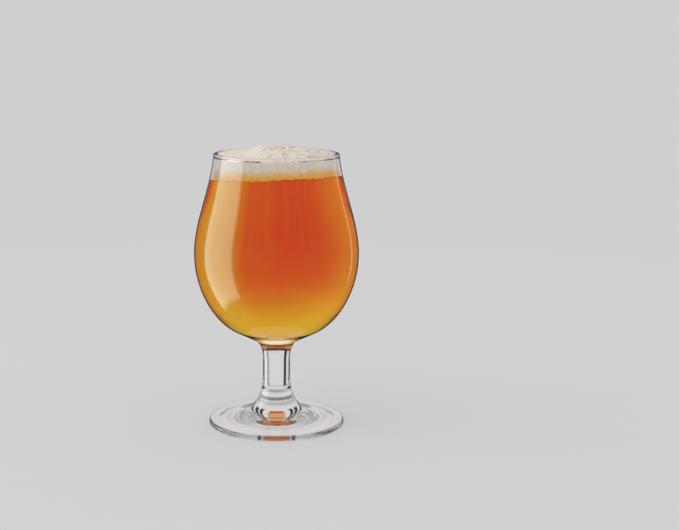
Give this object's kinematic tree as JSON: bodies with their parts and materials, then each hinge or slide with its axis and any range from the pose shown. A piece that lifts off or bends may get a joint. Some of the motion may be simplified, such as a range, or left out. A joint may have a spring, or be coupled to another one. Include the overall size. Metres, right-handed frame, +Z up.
{
  "type": "tulip beer glass",
  "caption": "Stemmed tulip beer glass with a rounded bowl, a short flared stem and a round foot, filled with amber beer under a domed head of foam.",
  "frame": {"origin": "centre of the ring that the glass stands on, at table height under the stem", "axes": "+Z up along the glass's own axis; the glass is round, so +X and +Y are any two level directions, with -Y towards the viewer of the picture"},
  "size_m": [0.0912, 0.0912, 0.157],
  "materials": {
    "clear_glass": "polished",
    "amber_beer": "polished",
    "beer_foam": "matte"
  },
  "bodies": {
    "root": {"bowl": "clear_glass", "stem": "clear_glass", "foot": "clear_glass", "beer": "amber_beer", "foam_head": "beer_foam"}
  },
  "joints": []
}
